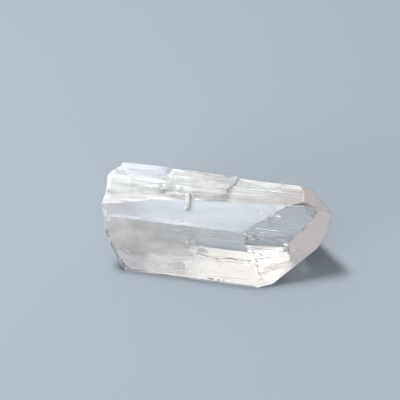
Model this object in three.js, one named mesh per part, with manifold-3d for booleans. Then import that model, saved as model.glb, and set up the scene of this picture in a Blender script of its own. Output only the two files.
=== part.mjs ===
// Danburite crystal, one terminated prism lying on a prism face.
// Millimetres, +Z up. The c axis of the crystal runs along X: the point faces +X, the broken
// root end faces -X. -Y is the front.
import * as THREE from 'three';
import { mergeVertices } from 'three/addons/utils/BufferGeometryUtils.js';
import Module from 'manifold-3d';

const wasm = await Module();
wasm.setup();

// ---- crystal angles, degrees. The l {120} prism faces of danburite stand 85.13 and 94.87
// ---- apart, and the pinacoids {010} and {100} bevel the edges between them.
const L_ANGLE = 85.13;
const FRONT_LEAN = 90 - L_ANGLE;
const BEVEL_AZIMUTH = FRONT_LEAN + L_ANGLE / 2;
const POINT_POLAR = 57.6;

// ---- prism section, mm
const FRONT_HEIGHT = 12.32;
const TOP_LEVEL = 17.6;
const BACK_EDGE_Y = 11.48;
const BACK_FOOT_Y = 18.4;
const BACK_LEAN = 3.0;
const BACK_CORNER_RISE = 9.0;
const LEFT_STOCK = 27;
const RIGHT_STOCK = 23;
const REACH = 60;

// ---- brow: three gently rising faces behind the front bevel, each through one point of its edge
const BROWS = [
  { x: -14.7, y: 4.24, z: 15.25, climb: 0.139 },
  { x: -7.4, y: 4.91, z: 15.87, climb: 0.084 },
  { x: 5.0, y: 5.5, z: 16.4, climb: 0.041 },
];
const BROW_PITCH = 7;

// ---- termination: azimuth about c (0 front, 90 up), polar angle from c, plane distance in mm
const POINT_FACES = {
  flank: { azimuth: 14.2, polar: 66.44, distance: 3.535 },
  upper: { azimuth: 90, polar: POINT_POLAR + 0.4, distance: 22.68 },
  front: { azimuth: FRONT_LEAN, polar: POINT_POLAR, distance: 4.24 },
  rear: { azimuth: 157.3, polar: 48.7, distance: 24.42 },
  under: { azimuth: -122.9, polar: 42.6, distance: 13.54 },
  lower: { azimuth: -90, polar: 53.2, distance: 6.52 },
};
const POINT_BEVELS = [
  { between: ['front', 'lower'], depth: 0.1 },
  { between: ['front', 'rear'], depth: 0.1 },
  { between: ['upper', 'rear'], depth: 0.12 },
  { between: ['upper', 'front'], depth: 0.07 },
];
const TIP_FACETS = [
  { azimuth: 100, polar: 33, at: [20.2, 9.0, 14.1] },
  { azimuth: -90, polar: 4, at: [20.55, 8.9, 12.0] },
  { azimuth: -90, polar: 26, at: [20.45, 8.9, 9.6] },
];

// ---- growth layers on the upper face, mm. `edge` is the upper edge of the layer's front riser,
// ---- seen from above; every riser is parallel to the front bevel.
const SCARP = [[1.75, 13.2], [1.35, 10.3], [0.25, 8.8], [-0.3, 7.1], [-1.8, 6.3], [-3.9, 5.1], [-5.2, 2.5]];
const LAYERS = [
  { top: 16.1, scarp: -0.1, edge: [[-8.6, 6.3], [-6.3, 5.5], [-4.9, 5.25], [-3.2, 5.35], [4, 5.3]] },
  { top: 16.96, edge: [[-25, 9.0], [-2, 9.05], [8.2, 8.9], [9.4, 8.7], [17.5, 8.75], [22, 9.1]] },
  { top: 17.24, edge: [[-25, 9.6], [4.0, 9.5], [5.6, 9.72], [12.4, 9.66], [13.6, 9.46], [22, 9.5]] },
  { top: 17.6, edge: [[-25, 10.6], [4.2, 10.55], [5.4, 10.4], [10.5, 10.46], [11.6, 10.76], [22, 10.7]] },
  {
    top: 16.3,
    swell: 0.62,
    scarp: 0,
    edge: [
      [-23.9, 7.9], [-19, 7.5], [-17.6, 6.8], [-12.4, 6.9], [-11.6, 7.5], [-8.8, 7.6], [-7.4, 7],
      [4, 7.1],
    ],
  },
  {
    top: 16.52,
    swell: 0.62,
    scarp: 0.1,
    edge: [
      [-23.6, 8.1], [-18.2, 7.8], [-17.1, 7.1], [-13.0, 7.2], [-12.2, 7.75], [-8.2, 7.85], [-7.0, 7.3],
      [4, 7.4],
    ],
  },
  {
    top: 16.75,
    swell: 0.62,
    scarp: 0.3,
    edge: [[-23.4, 8.3], [-16.6, 7.8], [-15.4, 8.1], [-10.2, 8.0], [-9.0, 7.7], [4, 7.75]],
  },
  {
    top: 16.97,
    swell: 0.62,
    scarp: 0.1,
    edge: [[-22.8, 8.5], [-17.2, 8.1], [-9.4, 8.25], [-8.2, 8.0], [4, 8.05]],
  },
  {
    top: 17.2,
    swell: 0.62,
    scarp: -0.35,
    edge: [[-24.2, 8.6], [-18.2, 8.5], [-12.8, 8.4], [-11.9, 8.8], [-6.6, 8.7], [-5.2, 9.0], [4, 8.8]],
  },
  {
    top: 17.42,
    swell: 0.62,
    scarp: -0.1,
    edge: [[-23.2, 9.2], [-12.9, 8.9], [-7.2, 9.2], [-6.0, 9.4], [4, 9.2]],
  },
  {
    top: 17.72,
    swell: 0.62,
    scarp: 0.25,
    edge: [[-22.0, 10.4], [-19.9, 9.1], [-13.4, 9.0], [-12.2, 9.9], [-5.2, 9.85], [-4.2, 9.6], [4, 9.7]],
  },
  {
    top: 17.95,
    swell: 0.62,
    scarp: 0.1,
    edge: [[-21.6, 10.5], [-14.0, 9.4], [-12.8, 10.3], [-5.8, 10.2], [4, 10.0]],
  },
  { top: 18.13, swell: 0.62, scarp: 0.15, edge: [[-21.8, 10.9], [-11.3, 10.7], [-10.4, 10.5], [4, 10.4]] },
  {
    top: 18.3,
    swell: 0.62,
    scarp: 0,
    edge: [[-22.2, 11.2], [-9.9, 11.0], [-9.1, 10.8], [-3.0, 10.9], [-2.2, 10.6], [4, 10.7]],
  },
];

// ---- the plate: thin last layers that outlived the breaking of the root end, mm
const PLATES = [
  {
    top: 18.58,
    swell: 0.7,
    root: 17.5,
    edge: [[-22.1, 11.7], [-20.4, 10.35], [-13.0, 10.4], [-12.1, 11.1], [-11.7, 11.8]],
  },
  {
    top: 18.8,
    swell: 0.78,
    root: 17.7,
    edge: [[-21.9, 12.0], [-20.0, 10.6], [-13.2, 10.7], [-12.5, 11.3], [-12.3, 11.9]],
  },
];
const LAYER_ROOT = 13.0;
const BACK_LAYER_ROOT = 0.8;

// ---- growth layers on the back bevel, mm: how far each stands out, its lower edge, its end
const SKINS = [
  { swell: 0.24, foot: 9.9, to: 14.2 },
  { swell: 0.13, foot: 13.1, to: 17.0 },
  { swell: 0.36, foot: 10.6, scarp: 1.2 },
  { swell: 0.5, foot: 12.2, scarp: 0.5 },
  { swell: 0.62, foot: 13.6, scarp: 0 },
  { swell: 0.71, foot: 15.2, to: -12.9 },
];
const SKIN_INNER_Y = 11.0;
const SKIN_LAP = 0.3;
const SKIN_END = [1, 0.5, 0.3];

// ---- growth steps on a face: `along` is the run of the steps, `origin` a point of the face, and
// ---- each step is [where it starts across the face, how far it stands out], mm
const FLANK_STEPS = {
  face: 'flank',
  along: [0.95, 0.36, -0.26],
  origin: [10, 2.79, 9],
  steps: [
    [-60, 0], [-8.8, 0.05], [-7.9, -0.03], [-7.2, 0.06], [-6.1, -0.02], [-5.5, 0.07], [-4.6, 0.01],
    [-4.1, -0.06], [-3.2, 0.05], [-2.7, -0.02], [-1.6, 0.07], [-1.1, 0], [-0.2, -0.07], [0.5, 0.03],
    [1.3, -0.04], [1.8, 0.06], [2.9, -0.01], [3.4, -0.06], [4.5, 0.04], [5.6, -0.03], [7.4, 0.02], [9, 0],
  ],
};
const REAR_STEPS = {
  face: 'rear',
  along: [0.2, 0.9, 0.6],
  origin: [16.1, 13.6, 10],
  steps: [
    [-60, 0], [-6.5, 0.1], [-4.2, -0.06], [-3.1, 0.08], [-0.6, -0.1], [0.9, 0.04], [2.3, -0.08],
    [4.6, 0],
  ],
};
const STEP_OVERLAP = 0.01;
const STEPPED_FACES = [FLANK_STEPS, REAR_STEPS];
const PLAIN_FACES = ['upper', 'front', 'under', 'lower'];

// ---- thin growth layers on the back face, mm: outline in X and Z
const BACK_LAYERS = [
  {
    thick: 0.14,
    outline: [
      [-26, 1.1], [-9.4, 1.3], [-8.1, 2.3], [3.1, 2.1], [5.6, 4.6], [4.7, 7.1], [-2.4, 7.4],
      [-26, 7.8],
    ],
  },
  {
    thick: 0.3,
    outline: [
      [-21.5, 3.3], [-12.2, 3.1], [-3.8, 3.6], [-1.2, 5.3], [-2.1, 6.2], [-14.6, 6.6], [-20.8, 6.1],
    ],
  },
];

// ---- small features, mm
const RIDER = {
  at: [-7.15, 4.6, 15.8],
  size: [1.05, 3.6, 0.9],
  turn: 6,
  chamfer: 0.26,
  wideChamfer: 0.36,
  tip: [0.25, -1, 0.9],
  tipInset: 0.25,
};
const PITS = [
  { at: [-13.0, 7.5, 16.75], size: [0.95, 0.6, 0.6], turn: 20 },
  { at: [-11.8, 6.6, 16.35], size: [0.75, 0.7, 0.55], turn: 70 },
  { at: [-10.7, 6.9, 16.5], size: [0.7, 0.75, 0.5], turn: 110 },
  { at: [-10.2, 5.8, 16.1], size: [0.8, 0.6, 0.5], turn: 130 },
  { at: [-8.9, 6.8, 16.4], size: [0.7, 0.5, 0.45], turn: 200 },
  { at: [-11.2, 5.3, 15.85], size: [0.5, 0.4, 0.35], turn: 250 },
];
const CHIPS = [
  { at: [-22.9, 1.1, 13.3], size: [1.3, 0.8, 0.7], turn: 30 },
  { at: [-23.1, 0.6, 11.9], size: [0.9, 0.7, 0.8], turn: 80 },
  { at: [-22.3, 2.3, 14.8], size: [1.0, 0.7, 0.5], turn: 140 },
  { at: [6.3, 0.5, 8.6], size: [0.8, 0.42, 1.0], turn: 15 },
  { at: [4.5, 0.7, 11.9], size: [0.9, 0.42, 0.42], turn: 65 },
  { at: [14.9, 4.86, 6.4], size: [0.55, 0.4, 0.4], turn: 110 },
  { at: [2.2, -0.1, 0.5], size: [0.8, 0.32, 0.3], turn: 10 },
  { at: [5.6, 12.3, 17.75], size: [0.3, 1.1, 0.4], turn: 0 },
  { at: [10.9, 12.1, 17.75], size: [0.4, 1.0, 0.34], turn: 0 },
  { at: [-8.0, 19.2, 9.3], size: [1.6, 0.5, 0.5], turn: 50 },
  { at: [9.0, 18.6, 0.4], size: [1.3, 0.5, 0.6], turn: 90 },
];
const GROOVE = { at: [1.05, 6.1, 16.75], size: [0.28, 3.0, 0.5], turn: -9 };

// ---- broken root end, mm
const ROOT = { crown: -24.45, foot: -19.1, crownLevel: 17.3, bulge: 2.3, cells: 38 };
const ROOT_RINGS = { height: 0.13, pitch: 2.1, y: 6.5, z: -4, atCrown: 0.4 };
const ROOT_HACKLE = { height: 0.2, first: [1.7, 0.9], second: [0.8, -1.9], shift: 1.3, fade: 0.7 };
const ROOT_BLOCK = { length: 8, width: 24, height: 27, y: 10, z: 11 };
const ROOT_FACES = [
  { normal: [-0.74, 0, 0.67], at: [-23.95, 6, 17.3] },
  { normal: [-0.66, 0.62, 0.42], at: [-22.9, 10.9, 17.1] },
  { normal: [-0.78, -0.6, 0.1], at: [-23.25, 1.05, 11.0] },
];

const rad = THREE.MathUtils.degToRad;
const bevelRun = 1 / Math.tan(rad(90 - BEVEL_AZIMUTH));
const backRun = 1 / Math.tan(rad(BEVEL_AZIMUTH));
const lean = Math.tan(rad(FRONT_LEAN));
const backLean = Math.tan(rad(BACK_LEAN));

// Unit normal of a face of the prism zone; azimuth 0 is the front, 90 the top.
function zoneNormal(azimuth) {
  return new THREE.Vector3(0, -Math.cos(rad(azimuth)), Math.sin(rad(azimuth)));
}

// Unit normal of a termination face, `polar` degrees away from c.
function pointNormal(azimuth, polar) {
  const across = zoneNormal(azimuth).multiplyScalar(Math.sin(rad(polar)));
  return across.add(new THREE.Vector3(Math.cos(rad(polar)), 0, 0));
}

// A closed solid from a three.js geometry.
function solid(geometry) {
  const bare = geometry.index ? geometry.toNonIndexed() : geometry.clone();
  bare.deleteAttribute('normal');
  bare.deleteAttribute('uv');
  const merged = mergeVertices(bare, 1e-5);
  const mesh = new wasm.Mesh({
    numProp: 3,
    vertProperties: new Float32Array(merged.attributes.position.array),
    triVerts: new Uint32Array(merged.index.array),
  });
  return new wasm.Manifold(mesh);
}

// Everything beyond the plane through `at` with the outward `normal`.
function beyond(normal, at) {
  const box = new THREE.BoxGeometry(2 * REACH, 2 * REACH, REACH);
  box.translate(0, 0, REACH / 2);
  const turn = new THREE.Quaternion();
  turn.setFromUnitVectors(new THREE.Vector3(0, 0, 1), normal.clone().normalize());
  box.applyQuaternion(turn);
  box.translate(at.x, at.y, at.z);
  return solid(box);
}

// A section in Y and Z, run along X.
function runAlongX(section, x0, x1) {
  const shape = new THREE.Shape(section.map(([y, z]) => new THREE.Vector2(y, z)));
  const run = new THREE.ExtrudeGeometry(shape, { depth: x1 - x0, bevelEnabled: false });
  const axes = new THREE.Matrix4();
  axes.makeBasis(new THREE.Vector3(0, 1, 0), new THREE.Vector3(0, 0, 1), new THREE.Vector3(1, 0, 0));
  run.applyMatrix4(axes);
  run.translate(x0, 0, 0);
  return solid(run);
}

// An outline in X and Y, raised along Z.
function raise(plan, z0, z1) {
  const shape = new THREE.Shape(plan.map(([x, y]) => new THREE.Vector2(x, y)));
  const block = new THREE.ExtrudeGeometry(shape, { depth: z1 - z0, bevelEnabled: false });
  block.translate(0, 0, z0);
  return solid(block);
}

// Y of the back bevel at height z; `swell` moves the face outwards.
function backBevelY(z, swell) {
  return BACK_EDGE_Y + (TOP_LEVEL - z) * backRun + swell;
}

// The plain prism with its two bevels.
function prism() {
  const cornerY = BACK_FOOT_Y + BACK_CORNER_RISE * backLean;
  const section = [
    [0, 0],
    [BACK_FOOT_Y, 0],
    [cornerY, TOP_LEVEL - (cornerY - BACK_EDGE_Y) / backRun],
    [BACK_EDGE_Y, TOP_LEVEL],
    [FRONT_HEIGHT * lean + (TOP_LEVEL - FRONT_HEIGHT) * bevelRun, TOP_LEVEL],
    [FRONT_HEIGHT * lean, FRONT_HEIGHT],
  ];
  return runAlongX(section, -LEFT_STOCK, RIGHT_STOCK);
}

// What lies above one brow face.
function aboveBrow(edge) {
  const along = new THREE.Vector3(1, edge.climb * bevelRun, edge.climb);
  const back = new THREE.Vector3(0, Math.cos(rad(BROW_PITCH)), Math.sin(rad(BROW_PITCH)));
  return beyond(along.cross(back), new THREE.Vector3(edge.x, edge.y, edge.z));
}

// One growth layer: its outline raised, sheared so the front riser leans like the front bevel,
// trimmed at the back bevel and, if it has one, at the scarp.
function layer(spec) {
  const left = spec.edge[0][0];
  const right = spec.edge[spec.edge.length - 1][0];
  const plan = [...spec.edge, [right, REACH / 2], [left, REACH / 2]];
  const shape = new THREE.Shape(plan.map(([x, y]) => new THREE.Vector2(x, y)));
  const root = spec.root ?? LAYER_ROOT;
  const block = new THREE.ExtrudeGeometry(shape, { depth: spec.top - root, bevelEnabled: false });
  block.translate(0, 0, root - spec.top);
  block.applyMatrix4(new THREE.Matrix4().makeShear(0, 0, 0, 0, 0, bevelRun));
  block.translate(0, 0, spec.top);
  const back = new THREE.Vector3(0, backBevelY(TOP_LEVEL, spec.swell ?? 0), TOP_LEVEL);
  const slab = solid(block).subtract(beyond(zoneNormal(180 - BEVEL_AZIMUTH + FRONT_LEAN), back));
  return spec.scarp === undefined ? slab : slab.intersect(leftOfScarp(spec.scarp));
}

// Everything on the root side of the zigzag scarp.
function leftOfScarp(shift) {
  const edge = SCARP.map(([x, y]) => [x + shift, y]).reverse();
  const front = SCARP[SCARP.length - 1][1];
  const back = edge[edge.length - 1][0];
  return raise([[-LEFT_STOCK, front], ...edge, [back, REACH], [-LEFT_STOCK, REACH]], 0, REACH);
}

// One growth layer on the back bevel, ended by the scarp or by a slanting edge.
function skin(spec) {
  const top = TOP_LEVEL + SKIN_LAP * spec.swell;
  const section = [
    [SKIN_INNER_Y, LAYER_ROOT],
    [backBevelY(spec.foot, 0) - SKIN_LAP, spec.foot - SKIN_LAP],
    [backBevelY(spec.foot, spec.swell), spec.foot],
    [backBevelY(top, spec.swell), top],
    [SKIN_INNER_Y, top],
  ];
  const sheet = runAlongX(section, -LEFT_STOCK, RIGHT_STOCK);
  if (spec.scarp !== undefined) return sheet.intersect(leftOfScarp(spec.scarp));
  const end = new THREE.Vector3(spec.to, BACK_EDGE_Y, TOP_LEVEL);
  return sheet.subtract(beyond(new THREE.Vector3(...SKIN_END), end));
}

// A thin growth layer on the back face.
function backLayer(spec) {
  const shape = new THREE.Shape(spec.outline.map(([x, z]) => new THREE.Vector2(x, z)));
  const depth = BACK_LAYER_ROOT + spec.thick;
  const sheet = new THREE.ExtrudeGeometry(shape, { depth, bevelEnabled: false });
  sheet.rotateX(Math.PI / 2);
  sheet.translate(0, BACK_FOOT_Y + spec.thick, 0);
  sheet.applyMatrix4(new THREE.Matrix4().makeShear(0, 0, 0, 0, 0, backLean));
  return solid(sheet);
}

// What lies beyond a termination face.
function beyondFace(face) {
  const normal = pointNormal(face.azimuth, face.polar);
  return beyond(normal, normal.clone().multiplyScalar(face.distance));
}

// What lies beyond a termination face that carries growth steps: one block for each step.
function beyondSteps(spec) {
  const face = POINT_FACES[spec.face];
  const normal = pointNormal(face.azimuth, face.polar);
  const along = new THREE.Vector3(...spec.along).projectOnPlane(normal).normalize();
  const across = new THREE.Vector3().crossVectors(normal, along);
  const axes = new THREE.Matrix4().makeBasis(along, across, normal);
  const origin = new THREE.Vector3(...spec.origin).projectOnPlane(normal);
  origin.addScaledVector(normal, face.distance);
  let cut = null;
  spec.steps.forEach(([start, rise], i) => {
    const end = spec.steps[i + 1]?.[0] ?? REACH;
    const block = new THREE.BoxGeometry(2 * REACH, end - start + STEP_OVERLAP, REACH);
    block.translate(0, (start + end) / 2, rise + REACH / 2);
    block.applyMatrix4(axes);
    block.translate(origin.x, origin.y, origin.z);
    cut = cut ? cut.add(solid(block)) : solid(block);
  });
  return cut;
}

// What a narrow bevel takes off the edge between two termination faces.
function beyondBevel(bevel) {
  const [a, b] = bevel.between.map((name) => POINT_FACES[name]);
  const sum = pointNormal(a.azimuth, a.polar).add(pointNormal(b.azimuth, b.polar));
  const distance = (a.distance + b.distance) / sum.length() - bevel.depth;
  sum.normalize();
  return beyond(sum, sum.clone().multiplyScalar(distance));
}

// The little crystal lying down the front bevel.
function rider() {
  const [w, l, h] = RIDER.size;
  const shape = new THREE.Shape([
    new THREE.Vector2(-w / 2, 0),
    new THREE.Vector2(w / 2, 0),
    new THREE.Vector2(w / 2, h - RIDER.chamfer),
    new THREE.Vector2(w / 2 - RIDER.chamfer, h),
    new THREE.Vector2(-w / 2 + RIDER.wideChamfer, h),
    new THREE.Vector2(-w / 2, h - RIDER.wideChamfer),
  ]);
  const bar = new THREE.ExtrudeGeometry(shape, { depth: l, bevelEnabled: false });
  bar.translate(0, -h / 2, -l / 2);
  bar.rotateX(Math.PI / 2);
  const tip = new THREE.Vector3(0, -l / 2 + RIDER.tipInset, h / 4);
  let body = solid(bar).subtract(beyond(new THREE.Vector3(...RIDER.tip), tip));
  body = body.rotate([0, 0, RIDER.turn]).rotate([90 - BEVEL_AZIMUTH, 0, 0]);
  return body.translate(RIDER.at);
}

// A small bite out of the solid: faceted, or rounder with `detail`.
function bite(spec, detail) {
  const shape = new THREE.IcosahedronGeometry(1, detail);
  shape.rotateZ(rad(spec.turn));
  shape.rotateX(rad(spec.turn / 2));
  shape.scale(...spec.size);
  shape.translate(...spec.at);
  return solid(shape);
}

// A narrow V-shaped groove.
function groove() {
  const [w, l, h] = GROOVE.size;
  const shape = new THREE.Shape([
    new THREE.Vector2(0, -h / 2),
    new THREE.Vector2(w / 2, h / 2),
    new THREE.Vector2(-w / 2, h / 2),
  ]);
  const cut = new THREE.ExtrudeGeometry(shape, { depth: l, bevelEnabled: false });
  cut.translate(0, 0, -l / 2);
  cut.rotateX(Math.PI / 2);
  cut.rotateX(rad(BROW_PITCH));
  cut.rotateZ(rad(GROOVE.turn));
  cut.translate(...GROOVE.at);
  return solid(cut);
}

// X of the broken root surface at a point of the section: a bulging fall from the crown to the
// foot, with the rings and the fine hackle of a conchoidal break.
function rootX(y, z) {
  const fall = THREE.MathUtils.clamp((ROOT.crownLevel - z) / ROOT.crownLevel, 0, 1);
  const arc = Math.hypot(y - ROOT_RINGS.y, z - ROOT_RINGS.z);
  const ringFade = THREE.MathUtils.lerp(ROOT_RINGS.atCrown, 1, fall);
  const rings = ROOT_RINGS.height * Math.sin(ROOT_RINGS.pitch * arc) * ringFade;
  const [a, b] = ROOT_HACKLE.first;
  const [c, d] = ROOT_HACKLE.second;
  const weave = Math.sin(a * y + b * z) * Math.sin(c * y + d * z + ROOT_HACKLE.shift);
  const hackle = ROOT_HACKLE.height * weave * (1 - ROOT_HACKLE.fade * fall);
  return ROOT.crown + (ROOT.foot - ROOT.crown) * fall ** ROOT.bulge + rings + hackle;
}

// What was broken off at the root end.
function brokenOff() {
  const { length, width, height, y, z } = ROOT_BLOCK;
  const box = new THREE.BoxGeometry(length, width, height, 1, ROOT.cells, ROOT.cells);
  box.translate(0, y, z);
  const place = box.attributes.position;
  for (let i = 0; i < place.count; i += 1) {
    const x = place.getX(i) > 0 ? rootX(place.getY(i), place.getZ(i)) : -LEFT_STOCK - length / 2;
    place.setX(i, x);
  }
  return solid(box);
}

// The crystal in its growth position.
function grow() {
  let body = prism();
  for (const edge of BROWS) body = body.subtract(aboveBrow(edge));
  for (const spec of SKINS) body = body.add(skin(spec));
  for (const spec of LAYERS) body = body.add(layer(spec));
  for (const spec of BACK_LAYERS) body = body.add(backLayer(spec));
  for (const spec of STEPPED_FACES) body = body.subtract(beyondSteps(spec));
  for (const name of PLAIN_FACES) body = body.subtract(beyondFace(POINT_FACES[name]));
  for (const bevel of POINT_BEVELS) body = body.subtract(beyondBevel(bevel));
  for (const facet of TIP_FACETS) {
    const normal = pointNormal(facet.azimuth, facet.polar);
    body = body.subtract(beyond(normal, new THREE.Vector3(...facet.at)));
  }
  body = body.subtract(brokenOff());
  for (const face of ROOT_FACES) {
    body = body.subtract(beyond(new THREE.Vector3(...face.normal), new THREE.Vector3(...face.at)));
  }
  for (const spec of PLATES) body = body.add(layer(spec));
  body = body.add(rider());
  for (const spec of PITS) body = body.subtract(bite(spec, 1));
  for (const spec of CHIPS) body = body.subtract(bite(spec, 0));
  return body.subtract(groove());
}

// A three.js geometry from a finished solid, standing on Z = 0 and centred in X and Y.
function finish(body) {
  const mesh = body.getMesh();
  const geometry = new THREE.BufferGeometry();
  const stride = mesh.numProp;
  const points = new Float32Array((mesh.vertProperties.length / stride) * 3);
  for (let i = 0; i < points.length / 3; i += 1) {
    for (let k = 0; k < 3; k += 1) points[3 * i + k] = mesh.vertProperties[stride * i + k];
  }
  geometry.setAttribute('position', new THREE.BufferAttribute(points, 3));
  geometry.setIndex(new THREE.BufferAttribute(new Uint32Array(mesh.triVerts), 1));
  geometry.computeBoundingBox();
  const { min, max } = geometry.boundingBox;
  geometry.translate(-(min.x + max.x) / 2, -(min.y + max.y) / 2, -min.z);
  const faceted = geometry.toNonIndexed();
  faceted.computeVertexNormals();
  return faceted;
}

const PALE_PINK_GREY = 0xe9e4e2;
const clear = new THREE.MeshStandardMaterial({
  name: 'crystal',
  color: PALE_PINK_GREY,
  roughness: 0.08,
  metalness: 0,
});
const crystal = new THREE.Mesh(finish(grow()), clear);
crystal.name = 'crystal';

const part = new THREE.Group();
part.name = 'danburite_crystal';
part.add(crystal);

export default part;
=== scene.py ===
# %% [markdown]
# # A danburite crystal in Blender
# This notebook dresses one solid, a danburite prism 45 mm long that lies on a prism face. The real
# crystal is clear, with a point at one end, a break at the other, ribs of growth along its upper
# side and clouds of tiny healed cracks sealed inside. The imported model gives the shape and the
# frame; everything here is placed from it, in metres.

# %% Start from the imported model
import bisect
import math
import random

import bmesh
import bpy
from mathutils import Matrix, Vector, noise
from mathutils.bvhtree import BVHTree


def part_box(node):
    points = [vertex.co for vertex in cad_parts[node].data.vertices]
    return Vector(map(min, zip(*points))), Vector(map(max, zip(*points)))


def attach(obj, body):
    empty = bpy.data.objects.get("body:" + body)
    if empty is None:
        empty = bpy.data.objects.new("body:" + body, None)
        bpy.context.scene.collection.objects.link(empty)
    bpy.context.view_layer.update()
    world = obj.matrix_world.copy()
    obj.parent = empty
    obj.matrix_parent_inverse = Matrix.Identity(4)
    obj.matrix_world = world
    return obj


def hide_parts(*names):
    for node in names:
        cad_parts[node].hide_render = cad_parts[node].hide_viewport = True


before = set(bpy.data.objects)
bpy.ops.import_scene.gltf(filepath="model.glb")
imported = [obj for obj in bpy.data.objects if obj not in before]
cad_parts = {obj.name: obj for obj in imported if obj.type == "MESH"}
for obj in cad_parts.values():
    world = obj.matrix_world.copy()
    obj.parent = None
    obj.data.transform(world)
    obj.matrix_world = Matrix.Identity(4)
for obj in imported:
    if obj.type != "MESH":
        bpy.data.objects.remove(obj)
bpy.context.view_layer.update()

low, high = (Vector(corner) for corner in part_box("crystal"))
print("CAD box in mm:", [round(1000 * side, 2) for side in high - low])

# %% [markdown]
# ## A ruler for the crystal
# Mineralogists measure a crystal from its own axes. Here x runs along the long c axis, y is 0 at
# the foot of the front face and z is 0 on the floor. One helper turns such a point, in
# millimetres, into a point of the frame, so that every number below can be read off the crystal.

# %% Crystal ruler
MM = 0.001
TIP_X = 20.645
origin = Vector((high.x - TIP_X * MM, low.y, low.z))


def at(x, y, z):
    """A point given in mm from the foot of the front face, as a point of the frame."""
    return origin + Vector((x, y, z)) * MM


def ruler(point):
    """A point of the frame, as mm from the foot of the front face."""
    return (point - origin) / MM


def prism_normal(azimuth):
    """Outward direction of a face of the prism: 0 is the front, 90 the top."""
    turn = math.radians(azimuth)
    return Vector((0, -math.cos(turn), math.sin(turn)))


def point_normal(azimuth, polar):
    """Outward direction of a face of the point, polar degrees away from the c axis."""
    tilt = math.radians(polar)
    return prism_normal(azimuth) * math.sin(tilt) + Vector((math.cos(tilt), 0, 0))


FRONT = prism_normal(4.87)
BEVEL = prism_normal(47.43)
FLANK = point_normal(14.2, 66.44)
POINT = point_normal(4.87, 57.6)
BACK = prism_normal(177.0)
print("origin of the ruler in mm:", [round(1000 * c, 3) for c in origin])

# %% [markdown]
# ## The body, face by face
# A clear solid shows every face twice, once from outside and once from within, so the mesh has to
# be clean: one sheet of skin, closed, with flat faces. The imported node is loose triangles, so a
# copy of it is merged, and triangles that lie in one plane are dissolved back into whole faces.
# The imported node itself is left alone.

# %% A merged copy of the solid
skin = bmesh.new()
skin.from_mesh(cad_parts["crystal"].data)
bmesh.ops.remove_doubles(skin, verts=skin.verts, dist=2e-6)
bmesh.ops.dissolve_limit(skin, angle_limit=math.radians(0.5), verts=skin.verts, edges=skin.edges)
print("faces:", len(skin.faces), "open edges:", sum(not edge.is_manifold for edge in skin.edges))

# %% [markdown]
# ## Telling the faces apart
# Each family of faces grew at its own speed and wears its own texture: the upper side is ribbed,
# the flank of the point is finely stepped, the front is smooth, the root is a rough break. The
# direction a face looks in and its height are enough to say which family it belongs to. The
# family is kept as a number on each face, so it survives all the cutting that follows.

# %% Face families
FAMILIES = range(12)
PLAIN, TOP, TOP_RISER, BEVEL_FACE, FRONT_FACE, FLANK_FACE = FAMILIES[:6]
POINT_FACE, ROOT, FOOT, BACK_FACE, SCARP, TIP = FAMILIES[6:]
SAME_PLANE = 0.995
BEVEL_DISTANCE = 8.365
RIDER_X = -7.15
RIDER_FOOT = 8.4
RIDER_BACK_Y = 6.2
family = skin.faces.layers.int.new("family")


def on_rider(spot):
    """Whether a point belongs to the little upright crystal that crosses the bevel."""
    return abs(spot.x - RIDER_X) < 1.0 and spot.y < RIDER_BACK_Y


def family_of(face):
    """The family a face belongs to."""
    spot = ruler(face.calc_center_median())
    normal = face.normal
    if normal.dot(BEVEL) > SAME_PLANE and abs(spot.dot(BEVEL) - BEVEL_DISTANCE) < 0.1:
        return BEVEL_FACE
    if on_rider(spot) and spot.dot(BEVEL) > RIDER_FOOT:
        return TOP_RISER
    if normal.dot(FRONT) > SAME_PLANE:
        return FRONT_FACE
    if normal.dot(FLANK) > SAME_PLANE and spot.x > 0:
        return FLANK_FACE
    if normal.dot(POINT) > SAME_PLANE and spot.x > 0:
        return POINT_FACE
    if normal.z < -0.99 and spot.z < 0.5:
        return FOOT
    if normal.x < -0.45 and spot.x < -15:
        return TOP_RISER if spot.z > 17.6 else ROOT
    if normal.z > 0.95 and spot.z > 14:
        return TOP
    if normal.x > 0.35 and -6 < spot.x < 3:
        return SCARP
    if normal.x > 0.35 and normal.z > 0.3 and spot.x > 12:
        return TIP
    if spot.z > 15 and spot.y < 12.5:
        return TOP_RISER
    if normal.dot(BACK) > 0.99:
        return BACK_FACE
    return PLAIN


for face in skin.faces:
    face[family] = family_of(face)
print("faces in each family:", [sum(face[family] == kind for face in skin.faces) for kind in FAMILIES])

# %% [markdown]
# ## Ribs along the upper side
# Danburite is striated parallel to c: while the prism grew, layer after layer stopped a little
# short of the last, and each left a hair-fine rib. The upper faces could be given a bump pattern,
# but bump doesn't bend the light that crosses the crystal in a believable way. So the faces are cut
# along x with bisect_plane, and each cut line is then raised or sunk by a few hundredths of a
# millimetre. The raise swells and dies away along the line, as real ribs do.

# %% A helper that cuts some faces with a row of planes
def score(mesh, kinds, direction, places):
    """Cut the faces of the given families with planes across direction, at places in mm."""
    for place in places:
        faces = [face for face in mesh.faces if face[family] in kinds]
        edges = {edge for face in faces for edge in face.edges}
        verts = {vert for face in faces for vert in face.verts}
        bmesh.ops.bisect_plane(
            mesh, geom=[*faces, *edges, *verts], dist=1e-7,
            plane_co=origin + direction * place * MM, plane_no=direction,
        )


def uneven_row(seed, start, end, smallest, largest):
    """Places from start to end, unevenly spaced."""
    draw = random.Random(seed)
    places = [start]
    while places[-1] < end:
        places.append(places[-1] + draw.uniform(smallest, largest))
    return places


along_c = Vector((1, 0, 0))
across_c = Vector((0, 1, 0))
rib_places = uneven_row(11, 3.3, 12.4, 0.16, 0.42)
score(skin, {TOP}, across_c, rib_places)
score(skin, {TOP}, along_c, uneven_row(12, -24, 18, 0.7, 1.3))
print("ribs:", len(rib_places), "faces now:", len(skin.faces))

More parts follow.
